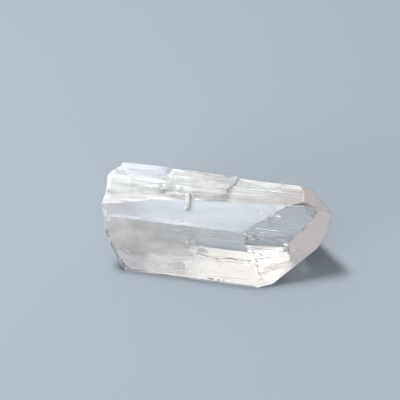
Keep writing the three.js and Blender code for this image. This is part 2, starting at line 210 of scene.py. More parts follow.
# %% Raise and sink the ribs
RIB_LEFT = 0.045
RIB_RIGHT = 0.02
SCARP_X = 0.5


def only_in(vert, kinds):
    """Whether every face round a vertex belongs to the given families."""
    return all(face[family] in kinds for face in vert.link_faces)


def rib_height(spot):
    """How far a point of the upper side is raised, in mm."""
    size = RIB_LEFT if spot.x < SCARP_X else RIB_RIGHT
    line = noise.noise(Vector((0.0, 9.1 * spot.y, 3.7)))
    swell = 0.55 + 0.9 * noise.noise(Vector((0.22 * spot.x, 2.3 * spot.y, 8.2)))
    return size * line * max(swell, 0.1) * 2.0


for vert in skin.verts:
    if only_in(vert, {TOP}):
        vert.co.z = min(vert.co.z + rib_height(ruler(vert.co)) * MM, high.z)
print("highest point in mm:", round(max(ruler(vert.co).z for vert in skin.verts), 3))

# %% [markdown]
# ## Fine steps on the flank
# The broad face beside the point carries much finer steps that run a little downhill. They are cut
# the same way, along their own direction. Each tread is level and ends in a narrow riser, and the
# treads stand a few hundredths of a millimetre above or below one another. Level treads mirror
# the light as flat strips; a wavy surface would smear it.

# %% Steps on the flank
step_run = Vector((0.95, 0.36, -0.26))
step_run = (step_run - FLANK * step_run.dot(FLANK)).normalized()
step_across = FLANK.cross(step_run)
flank_middle = Vector((10, 2.79, 9))
flank_places = [flank_middle.dot(step_across) + place for place in uneven_row(21, -9.5, 10, 0.14, 0.5)]
flank_ends = [flank_middle.dot(step_run) + place for place in uneven_row(22, -12, 12, 0.9, 1.6)]
RISER = 0.03
STEP_HEIGHT = 0.045
score(skin, {FLANK_FACE}, step_across, flank_places)
score(skin, {FLANK_FACE}, step_across, [place + RISER for place in flank_places])
score(skin, {FLANK_FACE}, step_run, flank_ends)


def step_height(spot):
    """How far a point of the flank stands out, in mm: level on a tread, a jump at each riser."""
    tread = bisect.bisect_right(flank_places, spot.dot(step_across) - RISER / 2)
    line = noise.noise(Vector((5.37 * tread, 0.16 * spot.dot(step_run), 1.9)))
    return STEP_HEIGHT * line


for vert in skin.verts:
    if only_in(vert, {FLANK_FACE}):
        vert.co += FLANK * step_height(ruler(vert.co)) * MM
print("faces now:", len(skin.faces))

# %% [markdown]
# ## The broken root
# The root end broke away from its pocket. A break is a rough, shell-like surface that scatters
# light. A displace modifier would also bend the faces beside it. So the faces of the break are
# divided, and only the points wholly inside it are nudged, by a coarse and a fine noise.

# %% Roughen the root
SHORTEST_SPLIT = 0.3
ROOT_COARSE = 0.16
ROOT_FINE = 0.08
bmesh.ops.triangulate(skin, faces=[face for face in skin.faces if face[family] == ROOT])
root_edges = [
    edge for edge in skin.edges
    if all(face[family] == ROOT for face in edge.link_faces) and edge.calc_length() > SHORTEST_SPLIT * MM
]
bmesh.ops.subdivide_edges(skin, edges=root_edges, cuts=1, use_grid_fill=True)
for vert in skin.verts:
    if only_in(vert, {ROOT}):
        spot = ruler(vert.co)
        coarse = noise.fractal(spot * 0.8, 1.0, 2.0, 3)
        fine = noise.noise(spot * 4.1)
        vert.co.x += (ROOT_COARSE * abs(coarse) + ROOT_FINE * abs(fine)) * MM
print("faces now:", len(skin.faces))

# %% [markdown]
# ## Frost, painted on the mesh
# Etching and breakage leave parts of the skin matt: the root, the laminated upper side near it,
# the far side near the root and the long face of the point. A noise in the material couldn't know
# these places. So how matt a place is gets painted on the points of the mesh, as a number from 0
# to 1. The big faces are first scored into a grid, so that the paint can fade.

# %% Score the big faces
COARSE = 1.1
CLOSE = 0.5
upwards = Vector((0, 0, 1))
big = {FRONT_FACE, BEVEL_FACE, FOOT, BACK_FACE, PLAIN, POINT_FACE, TIP}
score(skin, big, along_c, [-24 + COARSE * i for i in range(42)])
score(skin, {FOOT, PLAIN}, across_c, [COARSE * i for i in range(1, 18)])
score(skin, {FRONT_FACE, BACK_FACE, PLAIN, BEVEL_FACE}, upwards, [COARSE * i for i in range(1, 17)])
score(skin, {POINT_FACE}, upwards, [CLOSE * i for i in range(1, 34)])
score(skin, {POINT_FACE}, along_c, [11 + CLOSE * i for i in range(20)])
bmesh.ops.triangulate(skin, faces=skin.faces, quad_method="BEAUTY", ngon_method="BEAUTY")
print("faces now:", len(skin.faces), "open edges:", sum(not edge.is_manifold for edge in skin.edges))

# %% Paint the frost
frost = skin.verts.layers.float.new("frost")
stain = skin.verts.layers.float_color.new("stain")


def fade(value, start, end):
    """0 at start, 1 at end, smooth between."""
    t = min(max((value - start) / (end - start), 0.0), 1.0)
    return t * t * (3 - 2 * t)


def point_haze(spot):
    """How hazy the long face of the point is, from 0 low beside the flank to 1 over most of it."""
    beside_crack = fade(spot.x + 0.16 * spot.z, 14.35, 14.75) * (0.55 + 0.45 * fade(spot.z, 4.0, 6.2))
    return max(beside_crack, 0.35 * fade(spot.z, 5.4, 4.4) * fade(spot.z, 2.3, 3.4))


def frost_at(vert):
    """How matt the skin is at a vertex, from 0 to 1."""
    spot = ruler(vert.co)
    kinds = {face[family] for face in vert.link_faces}
    towards_root = fade(spot.x, 1.0, -12.0)
    patch = 0.5 + 0.5 * noise.noise(Vector((0.35 * spot.x, 0.7 * spot.y, 0.7 * spot.z)))
    if ROOT in kinds:
        return 1.0
    if kinds & {POINT_FACE, TIP}:
        return 0.85 if TIP in kinds else 0.05 + 0.8 * point_haze(spot)
    if kinds & {TOP, TOP_RISER}:
        return 0.04 + 0.08 * towards_root * patch if spot.x < SCARP_X else 0.03
    if kinds & {FOOT, BACK_FACE, PLAIN}:
        return towards_root * (0.5 + 0.3 * patch)
    return 0.0


PINK = (1.0, 0.955, 0.95)
COLOURLESS = (1.0, 1.0, 1.0)
for vert in skin.verts:
    vert[frost] = min(max(frost_at(vert), 0.0), 1.0)
    on_point = any(face[family] in (POINT_FACE, TIP) for face in vert.link_faces)
    vert[stain] = (*(PINK if on_point else COLOURLESS), 1.0)
print("mean frost:", round(sum(vert[frost] for vert in skin.verts) / len(skin.verts), 3))

# %% Make the object
def to_object(name, mesh):
    """A mesh object at the origin from a bmesh, which is used up."""
    data = bpy.data.meshes.new(name)
    mesh.to_mesh(data)
    mesh.free()
    piece = bpy.data.objects.new(name, data)
    bpy.context.collection.objects.link(piece)
    return piece


crystal_tree = BVHTree.FromBMesh(skin)
rind_mesh = skin.copy()
crystal = to_object("crystal_body", skin)
crystal.data.shade_flat()
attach(crystal, "root")
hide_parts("crystal")

# %% [markdown]
# ## Clear danburite
# Danburite bends light with an index of 1.63. The finish could be mixed from Glass and Transparent
# shaders, but one Principled shader with full transmission does the same with fewer values.
# Absorption gives the faint pink-beige tint: it deepens with the distance the light travels, so
# thin corners stay colourless. Roughness follows the painted frost, and a bump drawn out along c
# stands for the striations that are too fine to cut.

# %% Helpers for materials
def new_material(name):
    """A material with its node tree, Principled shader and output."""
    material = bpy.data.materials.new(name)
    material.use_nodes = True
    tree = material.node_tree
    return material, tree, tree.nodes["Principled BSDF"], tree.nodes["Material Output"]


def node(tree, kind, **values):
    """A node with some of its settings and inputs set."""
    made = tree.nodes.new(kind)
    for key, value in values.items():
        if hasattr(made, key):
            setattr(made, key, value)
        else:
            made.inputs[key.replace("_", " ")].default_value = value
    return made


def wire(tree, *links):
    """Join nodes; each link is a node, its output, the next node and its input."""
    for source, way_out, target, way_in in links:
        tree.links.new(source.outputs[way_out], target.inputs[way_in])


# %% Clear danburite
REFRACTION = 1.633
MATT = 0.7
TINT = (0.97, 0.87, 0.76, 1)
TINT_DENSITY = 14.0
clear, tree, shader, output = new_material("clear_danburite")
shader.inputs["Transmission Weight"].default_value = 1.0
shader.inputs["IOR"].default_value = REFRACTION
stain_colour = node(tree, "ShaderNodeAttribute", attribute_name="stain")
frost_value = node(tree, "ShaderNodeAttribute", attribute_name="frost")
rough = node(tree, "ShaderNodeMapRange", To_Max=MATT)
place = node(tree, "ShaderNodeTexCoord")
drawn_out = node(tree, "ShaderNodeVectorMath", operation="MULTIPLY")
drawn_out.inputs[1].default_value = (0.1, 1.0, 1.0)
lines = node(tree, "ShaderNodeTexNoise", Scale=2500.0, Detail=3.0)
striation = node(tree, "ShaderNodeBump", Strength=0.3, Distance=0.01 * MM)
tint = node(tree, "ShaderNodeVolumeAbsorption", Color=TINT, Density=TINT_DENSITY)
wire(
    tree,
    (stain_colour, "Color", shader, "Base Color"),
    (frost_value, "Fac", rough, "Value"),
    (rough, "Result", shader, "Roughness"),
    (place, "Object", drawn_out, 0),
    (drawn_out, "Vector", lines, "Vector"),
    (lines, "Fac", striation, "Height"),
    (striation, "Normal", shader, "Normal"),
    (tint, "Volume", output, "Volume"),
)
crystal.data.materials.clear()
crystal.data.materials.append(clear)
print("index of refraction:", REFRACTION, "nodes in clear_danburite:", len(tree.nodes))

# %% [markdown]
# ## What is sealed inside
# Most of what makes a real crystal look real lies inside it. Cracks that healed while it grew are
# left as sheets of tiny bubbles, and they show as white or pinkish veils. They could be a volume
# with a density pattern, but a game engine would lose it. So each veil is a very thin closed sheet:
# a grid, bent by noise, trimmed where it would leave the crystal, and given a wall by solidify.
# A number painted on its points, 1 in the middle and 0 at the rim, lets it fade out.

# %% The planes that bound the inside
BACK_BEVEL = prism_normal(137.44)
hull = [
    (FRONT, 0.0), (BEVEL, BEVEL_DISTANCE), (FLANK, 3.535), (POINT, 4.24),
    (point_normal(90, 58.0), 22.68), (point_normal(157.3, 48.7), 24.42),
    (point_normal(-122.9, 42.6), 13.54), (point_normal(-90, 53.2), 6.52),
    (BACK, BACK.dot(Vector((0, 18.4, 0)))), (BACK_BEVEL, BACK_BEVEL.dot(Vector((0, 11.48, 17.6)))),
    (Vector((0, 0, -1)), 0.0),
]
HULL_MARGIN = 0.15
SKIN_MARGIN = 0.06
print("bounding planes:", len(hull))


def inside(point):
    """Whether a point lies inside the crystal."""
    spot, normal, _, _ = crystal_tree.find_nearest(point)
    return (point - spot).dot(normal) < -SKIN_MARGIN * MM


# %% Helpers that seal a thin mesh inside the crystal
def give_wall(piece, wall):
    """Close a thin sheet with a wall of the given thickness in mm."""
    solidify = piece.modifiers.new("wall", "SOLIDIFY")
    solidify.thickness = wall * MM
    solidify.offset = -1.0
    solidify.use_even_offset = False


def seal_in(name, mesh, material, wall):
    """Drop what would leave the crystal, and make the rest a closed piece with a wall in mm."""
    outside = [face for face in mesh.faces if not all(inside(vert.co) for vert in face.verts)]
    bmesh.ops.delete(mesh, geom=outside, context="FACES")
    print(f"{name}: {len(mesh.faces)} faces, {len(outside)} trimmed")
    piece = to_object(name, mesh)
    give_wall(piece, wall)
    piece.data.materials.append(material)
    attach(piece, "root")
    return piece


# %% A helper that makes a sealed-in sheet
SHEET_WALL = 0.03
SHEET_WAVE = 0.3
SHEET_PITCH = 0.35
RAGGED = 0.3


def sheet(name, material, middle, along, across, size, cells, seed, fades=(0.35,) * 4, cover=0.9):
    """A thin closed sheet inside the crystal; middle and size are in mm.

    fades is how far in from each side the sheet is thin: start and end of along, then of across.
    """
    along = Vector(along).normalized()
    across = Vector(across)
    across = (across - along * across.dot(along)).normalized()
    normal = along.cross(across)
    mesh = bmesh.new()
    bmesh.ops.create_grid(mesh, x_segments=cells[0], y_segments=cells[1], size=1.0)
    strength = mesh.verts.layers.float.new("strength")
    for vert in mesh.verts:
        u, v = vert.co.x, vert.co.y
        bend = noise.noise(Vector((u * size[0] * SHEET_PITCH / 2, v * size[1] * SHEET_PITCH / 2, seed * 7.3)))
        spot = Vector(middle) + along * u * size[0] / 2 + across * v * size[1] / 2
        spot += normal * SHEET_WAVE * bend
        ragged = RAGGED * noise.noise(Vector((3 * u, 3 * v, seed * 3.1 + 1.7)))
        sides = zip((1 + u, 1 - u, 1 + v, 1 - v), fades)
        thin = math.prod(fade(side + reach * ragged, 0.0, reach) for side, reach in sides if reach)
        vert[strength] = cover * thin
        vert.co = at(*spot)
    for direction, distance in hull:
        geometry = [*mesh.verts, *mesh.edges, *mesh.faces]
        place = origin + direction * (distance - HULL_MARGIN) * MM
        bmesh.ops.bisect_plane(mesh, geom=geometry, plane_co=place, plane_no=direction, clear_outer=True)
    piece = seal_in(name, mesh, material, SHEET_WALL)
    piece.data.shade_smooth()


# %% [markdown]
# ## Veil finish
# A veil scatters light like frosted glass seen from far away, so it is a matt white with holes.
# Several weak veils, one behind another, look deep; one strong one would look like paper. The
# holes come from a cloudy noise, times the strength painted on the points. The same noise makes the
# veil rough and grainy, and a second pattern of flat cells can break it into splinters. Veils,
# cracks, flecks and the rind differ only in colour, scale, contrast and splinters. So the pattern
# is built once, as a node group, and each material places it with values of its own.

# %% Clouds, the first part of the shared pattern
def add_clouds(group, given, drawn_out):
    """A noise, and the cover it gives: 1 on average, more or less by the contrast."""
    clouds = node(group, "ShaderNodeTexNoise", Detail=4.0, Roughness=0.6)
    swing = node(group, "ShaderNodeMapRange", From_Min=0.36, From_Max=0.66, To_Min=-1.0)
    swung = node(group, "ShaderNodeMath", operation="MULTIPLY_ADD")
    swung.inputs[2].default_value = 1.0
    wire(
        group,
        (drawn_out, "Vector", clouds, "Vector"),
        (given, "Scale", clouds, "Scale"),
        (clouds, "Fac", swing, "Value"),
        (swing, "Result", swung, 0),
        (given, "Contrast", swung, 1),
    )
    return clouds, swung


# %% Splinters, the second part
CELL_SCALE = 800.0
CELL_GAP = 0.05


def add_splinters(group, given, drawn_out):
    """The cover that flat cells of uneven density leave, with gaps between them."""
    cells = node(group, "ShaderNodeTexVoronoi", Scale=CELL_SCALE)
    edges = node(group, "ShaderNodeTexVoronoi", feature="DISTANCE_TO_EDGE", Scale=CELL_SCALE)
    shade = node(group, "ShaderNodeSeparateColor")
    splinter = node(group, "ShaderNodeMapRange", To_Min=-1.0)
    gap = node(group, "ShaderNodeMapRange", From_Max=CELL_GAP, To_Min=-1.2, To_Max=0.1)
    pieces = node(group, "ShaderNodeMath", operation="ADD")
    broken = node(group, "ShaderNodeMath", operation="MULTIPLY_ADD")
    broken.inputs[2].default_value = 1.0
    wire(
        group,
        (drawn_out, "Vector", cells, "Vector"),
        (drawn_out, "Vector", edges, "Vector"),
        (cells, "Color", shade, "Color"),
        (shade, "Red", splinter, "Value"),
        (edges, "Distance", gap, "Value"),
        (splinter, "Result", pieces, 0),
        (gap, "Result", pieces, 1),
        (pieces, "Value", broken, 0),
        (given, "Splinters", broken, 1),
    )
    return broken


# %% The pattern, a node group shared by every veil and haze
SMOOTHEST = 0.55
ROUGHEST = 0.85
GRAIN = 0.03


def make_cover_group():
    """Node group: how much a sealed-in sheet covers, how rough it is and its grain."""
    group = bpy.data.node_groups.new("cover_pattern", "ShaderNodeTree")
    group.interface.new_socket("Stretch", in_out="INPUT", socket_type="NodeSocketVector")
    for socket_name in ("Scale", "Contrast", "Splinters"):
        group.interface.new_socket(socket_name, in_out="INPUT", socket_type="NodeSocketFloat")
    for socket_name in ("Cover", "Roughness"):
        group.interface.new_socket(socket_name, in_out="OUTPUT", socket_type="NodeSocketFloat")
    group.interface.new_socket("Normal", in_out="OUTPUT", socket_type="NodeSocketVector")
    given = node(group, "NodeGroupInput")
    result = node(group, "NodeGroupOutput")
    place = node(group, "ShaderNodeTexCoord")
    drawn_out = node(group, "ShaderNodeVectorMath", operation="MULTIPLY")
    clouds, swung = add_clouds(group, given, drawn_out)
    broken = add_splinters(group, given, drawn_out)
    painted = node(group, "ShaderNodeAttribute", attribute_name="strength")
    both = node(group, "ShaderNodeMath", operation="MULTIPLY")
    cover = node(group, "ShaderNodeMath", operation="MULTIPLY", use_clamp=True)
    rough = node(group, "ShaderNodeMapRange", To_Min=SMOOTHEST, To_Max=ROUGHEST)
    grain = node(group, "ShaderNodeBump", Strength=0.4, Distance=GRAIN * MM)
    wire(
        group,
        (place, "Object", drawn_out, 0),
        (given, "Stretch", drawn_out, 1),
        (swung, "Value", both, 0),
        (painted, "Fac", both, 1),
        (broken, "Value", cover, 0),
        (both, "Value", cover, 1),
        (clouds, "Fac", rough, "Value"),
        (clouds, "Fac", grain, "Height"),
        (cover, "Value", result, "Cover"),
        (rough, "Result", result, "Roughness"),
        (grain, "Normal", result, "Normal"),
    )
    return group


cover_group = make_cover_group()
print("nodes in the shared pattern:", len(cover_group.nodes))

# %% Veil material
ALONG_C = (0.08, 1.0, 1.0)
EVEN = (1.0, 1.0, 1.0)
SHEEN = 0.2


def matt_material(name, stretch, scale, contrast):
    """A matt material whose cover, roughness and grain follow the shared pattern."""
    material, tree, shader, _ = new_material(name)
    pattern = node(tree, "ShaderNodeGroup", node_tree=cover_group)
    pattern.inputs["Stretch"].default_value = stretch
    pattern.inputs["Scale"].default_value = scale
    pattern.inputs["Contrast"].default_value = contrast
    shader.inputs["Specular IOR Level"].default_value = SHEEN
    wire(
        tree,
        (pattern, "Cover", shader, "Alpha"),
        (pattern, "Roughness", shader, "Roughness"),
        (pattern, "Normal", shader, "Normal"),
    )
    return material, tree, shader, pattern


def veil_material(name, colour, stretch, scale, contrast):
    """A veil of one colour."""
    material, _, shader, _ = matt_material(name, stretch, scale, contrast)
    shader.inputs["Base Color"].default_value = (*colour, 1)
    return material


white_veil = veil_material("white_veil", (0.96, 0.96, 0.95), ALONG_C, 900.0, 0.6)
beige_veil = veil_material("beige_veil", (0.825, 0.80, 0.785), EVEN, 250.0, 0.15)
lilac_veil = veil_material("lilac_veil", (0.99, 0.97, 0.98), EVEN, 250.0, 0.15)
print("veil materials:", [material.name for material in (white_veil, beige_veil, lilac_veil)])

# %% Veils
X_DIR = (1, 0, 0)
Z_DIR = (0, 0, 1)
UP_FRONT = (0, 0.0849, 1)
CLOUD = (0, 1.2, 0, 0.15)
sheet("veil_top_1", white_veil, (-12.5, 9, 14.6), X_DIR, (0, 1, 0.1), (26, 11), (60, 30), seed=2, cover=0.5)
sheet(
    "veil_front_1", beige_veil, (-12.0, 1.04, 8.1), X_DIR, UP_FRONT, (36, 9.8), (80, 30), seed=4,
    fades=(0, 1.7, 0.72, 0.15),
)
sheet(
    "veil_front_low", lilac_veil, (-13.0, 1.3, 2.6), X_DIR, UP_FRONT, (34, 6.4), (80, 20), seed=9,
    fades=(0, 1.8, 0, 0.5), cover=0.75,
)
sheet("veil_front_2", beige_veil, (-20, 3.2, 6.5), X_DIR, UP_FRONT, (14, 16), (40, 48), seed=5, fades=CLOUD)
sheet("veil_front_3", beige_veil, (-21, 8.0, 6.5), X_DIR, Z_DIR, (14, 18), (40, 48), seed=6, fades=CLOUD)

# %% Pale patches in the front
PATCH = (0.8, 0.8, 0.8, 0.8)
for name, middle, size, cells, seed, cover in [
    ("patch_1", (-6.7, 1.2, 8.0), (1.6, 3.8), (10, 20), 12, 0.65),
    ("patch_2", (-3.4, 1.1, 6.9), (3.2, 2.0), (16, 12), 13, 0.5),
    ("patch_3", (-9.6, 1.4, 7.6), (3.2, 2.8), (16, 14), 14, 0.9),
    ("patch_4", (-8.3, 0.7, 2.5), (3.6, 2.0), (20, 14), 15, 0.7),
]:
    sheet(name, white_veil, middle, X_DIR, UP_FRONT, size, cells, seed, fades=PATCH, cover=cover)

# %% [markdown]
# ## Cracks and flecks
# Open cracks run into the crystal almost along the line of sight, so each shows as a thin wavy
# line: a long strip that follows a path and reaches back from it. Where a crack splinters it
# leaves clusters of tiny tilted mirrors. They are made as many small grids in one mesh.

# %% Crack helper
INTO = (-0.09, 0.91, -0.41)
ACROSS_SIGHT = (-0.09, 0.88, -0.5)
STRIP_ROWS = 6
STRIP_COLUMNS = 8
CRACK_WALL = 0.02


def on_path(path, t):
    """The point at fraction t of a path given by its corners."""
    place = min(max(t, 0.0), 1.0) * (len(path) - 1)
    corner = min(int(place), len(path) - 2)
    return Vector(path[corner]).lerp(Vector(path[corner + 1]), place - corner)


def crack(name, material, path, reach, seed, into=INTO, wave=0.06, pitch=1.1, cover=0.9):
    """A thin closed strip along a path, reaching back from it; path, reach and wave are in mm."""
    mesh = bmesh.new()
    columns = STRIP_COLUMNS * (len(path) - 1)
    bmesh.ops.create_grid(mesh, x_segments=columns, y_segments=STRIP_ROWS, size=1.0)
    strength = mesh.verts.layers.float.new("strength")
    for vert in mesh.verts:
        u, v = vert.co.x, vert.co.y
        spot = on_path(path, (u + 1) / 2) + Vector(into) * reach * (v + 1) / 2
        spot.z += wave * noise.noise(Vector((pitch * spot.x, pitch * spot.y, pitch * spot.z + seed)))
        vert[strength] = cover * fade(1 - abs(u), 0.0, 0.15) * fade(1 - v, 0.0, 0.5)
        vert.co = at(*spot)
    piece = seal_in(name, mesh, material, CRACK_WALL)
    piece.data.shade_smooth()


# %% Cracks
crack_grey = veil_material("crack_grey", (0.50, 0.47, 0.455), EVEN, 1300.0, 0.9)
# A near-black matt for painted shadow: the contact shadow under the foot of the front face.
contact_shadow = veil_material("contact_shadow", (0.12, 0.12, 0.13), EVEN, 900.0, 0.3)
WAVY_PATH = [
    (-4.7, 0.9, 6.3), (-2.9, 0.9, 5.8), (-0.1, 0.9, 5.5),
    (2.7, 0.9, 5.95), (4.3, 0.9, 5.7), (6.7, 0.9, 6.05),
]
crack("crack_wavy", crack_grey, WAVY_PATH, 1.1, seed=1, into=ACROSS_SIGHT, wave=0.25)
crack(
    "crack_wavy_under", crack_grey,
    [(-2.6, 0.9, 5.3), (0.4, 0.9, 4.85), (2.6, 0.9, 5.3), (4.4, 0.9, 5.1), (6.6, 0.9, 5.3)],
    0.8, seed=2, into=ACROSS_SIGHT, wave=0.2, cover=0.75,
)
crack(
    "crack_slanting", crack_grey,
    [(-11.4, 0.7, 2.7), (-9.4, 0.7, 1.95), (-7.1, 0.7, 0.9)],
    0.5, seed=3, cover=0.6,
)
crack(
    "crack_corner", crack_grey,
    [(6.3, 1.4, 9.2), (6.6, 1.2, 7.4), (7.5, 1.1, 5.6), (7.7, 1.0, 3.6), (8.7, 0.7, 1.3)],
    0.9, seed=4, wave=0.3, pitch=1.6, cover=0.45,
)
# A near-black strip just inside the foot of the front face is painted shadow: the contact shadow where the
# crystal meets the card.
crack(
    "contact_shadow_strip", contact_shadow,
    [(-13.0, 0.1, 0.065), (-2.0, 0.1, 0.065), (9.0, 0.1, 0.065)],
    0.16, seed=8, into=(0, 0.05, 1), wave=0, cover=1.0,
)
crack(
    "crack_point", crack_grey,
    [(13.2, 4.5, 7.2), (13.6, 4.5, 5.5), (13.7, 4.5, 3.9)],
    1.6, seed=5,
)
crack(
    "crack_scarp", crack_grey,
    [(1.1, 10.6, 17.1), (0.1, 8.9, 16.75), (-0.35, 7.3, 16.5), (-1.7, 6.3, 15.95), (-3.6, 5.2, 15.65)],
    0.5, seed=6, into=(0.1, -0.2, -1.0), wave=0.15, pitch=2.0,
)
crack(
    "crack_low", crack_grey,
    [(-3.0, 0.6, 3.6), (2.5, 0.6, 3.1), (7.0, 0.8, 3.2)],
    0.7, seed=7, cover=0.5,
)


# %% Fleck helper
FLECK_WALL = 0.015
FLECK_COVER = 0.9


def flecks(name, material, clusters, seed):
    """Many small closed plates in one mesh.

    Each cluster is middle, spread, count, size, direction of length, direction faced; all in mm.
    """
    draw = random.Random(seed)
    mesh = bmesh.new()
    for middle, spread, count, size, along, facing in clusters:
        for _ in range(count):
            spot = at(*(m + reach * draw.uniform(-1, 1) for m, reach in zip(middle, spread)))
            tilt = Vector([draw.uniform(-0.5, 0.5) for _ in range(3)])
            normal = (Vector(facing) + tilt).normalized()
            length = (Vector(along) - normal * normal.dot(Vector(along))).normalized()
            turn = Matrix((length, normal.cross(length), normal)).transposed().to_4x4()
            half = 0.5 * MM * draw.uniform(0.5, 1.0)
            stretch = Matrix.Diagonal((size[0] * half, size[1] * half, 1.0, 1.0))
            matrix = Matrix.Translation(spot) @ turn @ stretch
            bmesh.ops.create_grid(mesh, x_segments=2, y_segments=2, size=1.0, matrix=matrix)
    strength = mesh.verts.layers.float.new("strength")
    for vert in mesh.verts:
        vert[strength] = FLECK_COVER
    seal_in(name, mesh, material, FLECK_WALL)


# %% Flecks
RUN = tuple(step_run)
white_fleck = veil_material("white_fleck", (0.97, 0.97, 0.97), EVEN, 2000.0, 0.3)
grey_fleck = veil_material("grey_fleck", (0.34, 0.33, 0.35), EVEN, 2000.0, 0.3)
flecks("flecks_white", white_fleck, [
    ((6.9, 2.3, 11.0), (1.9, 0.3, 0.9), 26, (0.9, 0.25), RUN, (0, -0.4, 1)),
    ((13.0, 4.9, 10.0), (1.0, 0.3, 2.2), 20, (0.7, 0.22), RUN, (0, -0.4, 1)),
    ((10.0, 3.4, 13.0), (3.0, 0.4, 1.2), 18, (1.2, 0.2), RUN, (0, -0.4, 1)),
    ((-8.3, 0.8, 2.4), (1.5, 0.2, 0.7), 14, (0.5, 0.3), X_DIR, (0, -0.6, 0.8)),
    ((8.4, 4.4, 15.0), (2.2, 0.5, 0.5), 40, (0.5, 0.3), X_DIR, (0, -0.7, 0.7)),
    ((7.6, 3.6, 14.2), (1.0, 0.12, 0.12), 14, (0.9, 0.25), X_DIR, (0, -0.7, 0.7)),
    ((-7.9, 1.7, 12.6), (0.8, 0.3, 0.4), 8, (0.6, 0.4), X_DIR, (0, -0.7, 0.7)),
    ((0.0, 2.6, 13.4), (1.2, 0.6, 0.7), 14, (0.6, 0.4), X_DIR, (0, -0.7, 0.7)),
    ((-15.8, 1.35, 12.35), (4.6, 0.1, 0.1), 22, (0.5, 0.3), X_DIR, (0, -0.7, 0.7)),
    ((-22.2, 2.0, 12.2), (0.8, 0.9, 1.3), 30, (0.5, 0.4), Z_DIR, (-1, -0.5, 0.3)),
], seed=31)
flecks("flecks_grey", grey_fleck, [
    ((6.3, 2.4, 11.0), (1.3, 0.3, 1.0), 16, (0.8, 0.2), RUN, (0, -0.4, 1)),
    ((13.4, 5.0, 10.2), (0.8, 0.3, 1.8), 12, (0.6, 0.2), RUN, (0, -0.4, 1)),
    ((-1.7, 0.4, 0.5), (0.5, 0.1, 0.15), 5, (0.5, 0.25), X_DIR, (0, -1, 0.5)),
    ((0.4, 0.4, 0.45), (0.5, 0.1, 0.1), 4, (0.5, 0.25), X_DIR, (0, -1, 0.5)),
    # The grey flecks in this cluster lie in the pit and paint its shade.
    ((-11.0, 6.2, 15.85), (2.0, 0.9, 0.15), 26, (0.55, 0.25), X_DIR, (0, -0.2, 1)),
    ((-2.2, 7.0, 16.2), (2.0, 1.2, 0.2), 12, (0.8, 0.16), X_DIR, (0, -0.2, 1)),
    ((15.1, 5.5, 6.2), (0.35, 0.2, 0.5), 6, (0.7, 0.3), (1, 0, 1), (0.5, -0.8, 0)),
], seed=32)

# %% [markdown]
# ## The milky rind
# The ribs near the root are full of hairline splits, so the crystal is white there just under its
# skin, and a fainter haze lies under the long bevel and the point. Under the bevel the haze is also
# bluer and brighter, partly a painted reflection of the bluish sky that face shows. The grey layer
# under the flank is painted shade, the dark floor seen through it; the grey in the pit behind the
# rubble is painted shade in a hollow, and the denser white on some risers is partly a painted
# highlight. A sheet can't follow those ledges. So the rind is a copy of the skin itself: the faces
# that have no haze are dropped, the rest move in by a tenth of a millimetre, and solidify gives them
# a wall. How dense the haze is, its colour and how splintered it looks are painted on the corners
# of its faces.

# %% Colours of the haze
WHITE = (0.93, 0.93, 0.925)
ROOT_WHITE = (0.68, 0.71, 0.73)
TOP_GREY = (0.85, 0.845, 0.84)
TOP_PINK = (0.66, 0.625, 0.62)
MIDDLE_GREY = (0.68, 0.68, 0.69)
PLATE_BLUE = (0.83, 0.865, 0.92)
BEVEL_HAZE_AND_SKY = (0.80, 0.84, 0.90)
BEVEL_LILAC = (0.74, 0.74, 0.78)
BEVEL_GREY = (0.72, 0.765, 0.80)
TIP_PINK = (0.95, 0.905, 0.895)
TIP_GREY = (0.55, 0.525, 0.52)
FLANK_SHADE = (0.36, 0.37, 0.38)
PIT_SHADE = (0.50, 0.51, 0.50)


def blend(start, end, amount):
    """A colour between two others."""
    return tuple(Vector(start).lerp(end, amount))


# %% Where the haze is
HIGHLIT_RISERS = [(18.1, 18.85), (17.0, 17.3), (16.3, 16.76)]
BEHIND_SCARP = SCARP_X + 0.6
PLATE_Z = 17.7
PLATE_END_X = -11.3
REMNANT_Z = 17.5


def in_pit(spot):
    """Whether a point belongs to the walls of the pit behind the rubble."""
    return abs(spot.x + 11.2) < 2.4 and 5.0 < spot.y < 7.8 and spot.z < 16.9


